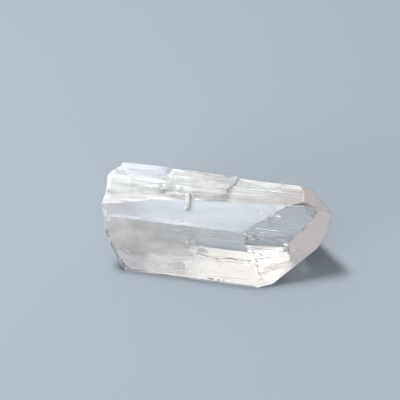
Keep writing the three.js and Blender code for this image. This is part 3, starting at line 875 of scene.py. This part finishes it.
def haze_at(spot, kind):
    """Cover, colour and strength of the splinters in the haze at a point of a face."""
    blotch = noise.noise(Vector((0.3 * spot.x, 0.5 * spot.y, 4.4)))
    left = fade(spot.x, -5.0, -14.0)
    if kind == ROOT:
        return 0.35 + 0.1 * blotch, ROOT_WHITE, 0.5
    # Under the long bevel the haze is bluer and brighter: partly haze, partly a painted reflection of the
    # bluish sky.
    if kind == BEVEL_FACE:
        colour = blend(BEVEL_HAZE_AND_SKY, BEVEL_LILAC, fade(spot.x, -14.0, -19.0))
        return 0.46 + 0.05 * blotch, blend(colour, BEVEL_GREY, fade(spot.x, -1.0, 5.0)), 0.05
    if kind == POINT_FACE:
        return 0.8 * point_haze(spot), TIP_PINK, 0.05
    if kind == TIP:
        return 0.5, TIP_GREY, 0.1
    # The grey layer under the flank is painted shade: it darkens the flank like the dark floor seen through
    # it.
    if kind == FLANK_FACE:
        return 0.13 * fade(spot.z, 7.9, 8.5) * fade(spot.z, 11.5, 10.0), FLANK_SHADE, 0.15
    # In the pit behind the rubble the haze is grey: painted shade in the hollow.
    if kind == TOP_RISER and in_pit(spot):
        return 0.6, PIT_SHADE, 0.3
    if kind == TOP_RISER and on_rider(spot):
        return 0.62, WHITE, 0.3
    if spot.z > PLATE_Z and spot.x < PLATE_END_X:
        return 0.6, PLATE_BLUE, 0.25
    # Risers that catch the light get denser white: partly milky haze, partly a painted highlight on the ribs.
    if kind == TOP_RISER:
        highlit = spot.x > SCARP_X or any(low_z < spot.z < high_z for low_z, high_z in HIGHLIT_RISERS)
        beside_scarp = fade(spot.x, -7.0, -4.0) * fade(spot.x, BEHIND_SCARP, SCARP_X)
        return ((0.57 if highlit else 0.28) + 0.12 * left) * (1 - 0.6 * beside_scarp), WHITE, 0.4
    if spot.x > BEHIND_SCARP and spot.z > REMNANT_Z:
        return 0.75, WHITE, 0.3
    if spot.x > BEHIND_SCARP:
        return 0.5 + 0.08 * blotch, blend(TOP_GREY, TOP_PINK, fade(spot.x, 6.0, 13.0)), 0.15
    middle = fade(spot.x, -10.0, -5.0)
    density = 0.17 + 0.38 * left + 0.08 * blotch + 0.10 * middle
    return density, blend(WHITE, MIDDLE_GREY, middle), 0.4


print("haze in the root:", haze_at(Vector((-23.0, 9.0, 9.0)), ROOT))

# %% Rind
RIND_DEPTH = 0.1
RIND_WALL = 0.03
HAZY = {TOP, TOP_RISER, BEVEL_FACE, ROOT, POINT_FACE, TIP, FLANK_FACE}
density_layer = rind_mesh.loops.layers.float.new("strength")
colour_layer = rind_mesh.loops.layers.float_color.new("haze")
lines_layer = rind_mesh.loops.layers.float.new("lines")
rind_family = rind_mesh.faces.layers.int["family"]
rind_mesh.normal_update()
moves = [vert.normal * -RIND_DEPTH * MM for vert in rind_mesh.verts]
for face in rind_mesh.faces:
    if face[rind_family] not in HAZY:
        continue
    for loop in face.loops:
        density, colour, lines = haze_at(ruler(loop.vert.co), face[rind_family])
        loop[density_layer] = min(max(density, 0.0), 1.0)
        loop[colour_layer] = (*colour, 1.0)
        loop[lines_layer] = lines
for vert, move in zip(rind_mesh.verts, moves):
    vert.co += move
clear_faces = [face for face in rind_mesh.faces if face[rind_family] not in HAZY]
bmesh.ops.delete(rind_mesh, geom=clear_faces, context="FACES")
print("rind faces:", len(rind_mesh.faces))
rind = to_object("milky_rind", rind_mesh)
give_wall(rind, RIND_WALL)
rind.data.shade_flat()
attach(rind, "root")

# %% Haze material
milky, tree, shader, pattern = matt_material("milky_haze", ALONG_C, 1300.0, 0.0)
haze_colour = node(tree, "ShaderNodeAttribute", attribute_name="haze")
haze_lines = node(tree, "ShaderNodeAttribute", attribute_name="lines")
wire(
    tree,
    (haze_colour, "Color", shader, "Base Color"),
    (haze_lines, "Fac", pattern, "Contrast"),
    (haze_lines, "Fac", pattern, "Splinters"),
)
rind.data.materials.append(milky)
print("material slots:", [slot.name for slot in rind.material_slots])

# %% [markdown]
# ## Floor, light and camera
# A pale blue-grey card lies under the crystal, 0.06 mm below it, because a rough card touches a
# crystal only at a few points and a film of air stays between them. That film is what keeps the
# underside shining. The light is a white tent: brightest overhead, and card-coloured low down.
# A tent alone gives no shadow, so two softboxes join it: a small one high on the left, whose size
# sets how soft the shadow is, and a broad one low in front, which fills the faces that look at the
# viewer. A long lens looks down on the crystal from a little to the right.

# %% Floor
CARD_HALF = 1.5
AIR_FILM = 0.06
CARD_COLOUR = (0.1755, 0.1985, 0.2205, 1)
card = bmesh.new()
under = Matrix.Translation((0, 0, -AIR_FILM * MM))
bmesh.ops.create_grid(card, x_segments=1, y_segments=1, size=CARD_HALF, matrix=under)
floor = to_object("floor", card)
paper, _, shader, _ = new_material("paper")
shader.inputs["Base Color"].default_value = CARD_COLOUR
shader.inputs["Roughness"].default_value = 0.9
shader.inputs["Specular IOR Level"].default_value = 0.0
floor.data.materials.append(paper)

# %% Light tent
BRIGHT_SIDE = Vector((-0.1, 0.62, 0.78)).normalized()
DIM_RIGHT = 0.3
TENT_STRENGTH = 0.94
TENT_STOPS = [
    (0.24, (0.50, 0.55, 0.60, 1)),
    (0.44, (0.78, 0.86, 0.93, 1)),
    (0.70, (0.81, 0.88, 0.95, 1)),
    (0.86, (1.02, 1.04, 1.08, 1)),
    (0.94, (1.08, 1.08, 1.07, 1)),
]
world = bpy.data.worlds.new("tent")
bpy.context.scene.world = world
world.use_nodes = True
tree = world.node_tree
background = tree.nodes["Background"]
background.inputs["Strength"].default_value = TENT_STRENGTH
direction = node(tree, "ShaderNodeTexCoord")
towards_light = node(tree, "ShaderNodeVectorMath", operation="DOT_PRODUCT")
towards_light.inputs[1].default_value = BRIGHT_SIDE
half = node(tree, "ShaderNodeMapRange", From_Min=-1.0)
ramp = node(tree, "ShaderNodeValToRGB")
towards_right = node(tree, "ShaderNodeSeparateXYZ")
dim = node(
    tree, "ShaderNodeMapRange", interpolation_type="SMOOTHSTEP",
    From_Min=-0.1, From_Max=0.7, To_Min=1.0, To_Max=DIM_RIGHT,
)
shaded = node(tree, "ShaderNodeVectorMath", operation="SCALE")
wire(
    tree,
    (direction, "Generated", towards_light, 0),
    (towards_light, "Value", half, "Value"),
    (half, "Result", ramp, "Fac"),
    (direction, "Generated", towards_right, "Vector"),
    (towards_right, "X", dim, "Value"),
    (ramp, "Color", shaded, 0),
    (dim, "Result", shaded, "Scale"),
    (shaded, "Vector", background, "Color"),
)
stops = ramp.color_ramp.elements
stops[0].position, stops[0].color = TENT_STOPS[0]
stops[1].position, stops[1].color = TENT_STOPS[-1]
for place, colour in TENT_STOPS[1:-1]:
    stops.new(place).color = colour
print("stops of the tent:", len(stops))

# %% Softboxes
OVERHEAD_AT = (-0.165, 0.05, 0.58)
OVERHEAD_SIZE = 0.14
OVERHEAD_POWER = 6.4
FRONT_AT = (-0.28, -0.53, 0.10)
FRONT_SIZE = 0.36
FRONT_POWER = 4.4


def softbox(name, place, aim, size, power):
    """A square area light at place, turned towards aim; metres and watts."""
    light = bpy.data.lights.new(name, "AREA")
    light.size = size
    light.energy = power
    lamp = bpy.data.objects.new(name, light)
    bpy.context.collection.objects.link(lamp)
    lamp.location = place
    lamp.rotation_euler = (Vector(aim) - Vector(place)).to_track_quat("-Z", "Y").to_euler()
    print(f"{name}: {power} W, {size} m wide")


softbox("overhead", OVERHEAD_AT, (0, 0, 0), OVERHEAD_SIZE, OVERHEAD_POWER)
softbox("front", FRONT_AT, (0, 0, 0.008), FRONT_SIZE, FRONT_POWER)

# %% Where the camera stands
AZIMUTH = math.radians(10.52)
ELEVATION = math.radians(37.0)
DISTANCE = 300.45 * MM
LOOK_RIGHT = -5.0
LOOK_UP = 5.6
target = at(0, 6.213, 9.0)
back_to_camera = Vector((
    math.sin(AZIMUTH) * math.cos(ELEVATION),
    -math.cos(AZIMUTH) * math.cos(ELEVATION),
    math.sin(ELEVATION),
))
right = Vector((math.cos(AZIMUTH), math.sin(AZIMUTH), 0))
up = back_to_camera.cross(right)
print("towards the camera:", [round(side, 3) for side in back_to_camera])

# %% Camera
SENSOR = 36
FOCAL_LENGTH = 135.2
lens = bpy.data.cameras.new("camera")
lens.sensor_width = SENSOR
lens.lens = FOCAL_LENGTH
camera = bpy.data.objects.new("camera", lens)
bpy.context.collection.objects.link(camera)
camera.location = target + back_to_camera * DISTANCE
aim = target + right * LOOK_RIGHT * MM + up * LOOK_UP * MM
camera.rotation_euler = (aim - camera.location).to_track_quat("-Z", "Y").to_euler()
bpy.context.scene.camera = camera
print("camera at", [round(side, 4) for side in camera.location])

# %% Light paths
LONG_PATH = 24
scene = bpy.context.scene
scene.view_settings.view_transform = "Standard"
scene.cycles.max_bounces = LONG_PATH
scene.cycles.transmission_bounces = LONG_PATH
scene.cycles.transparent_max_bounces = LONG_PATH
scene.cycles.glossy_bounces = 12
scene.cycles.diffuse_bounces = 4
print("longest light path through the crystal:", LONG_PATH)
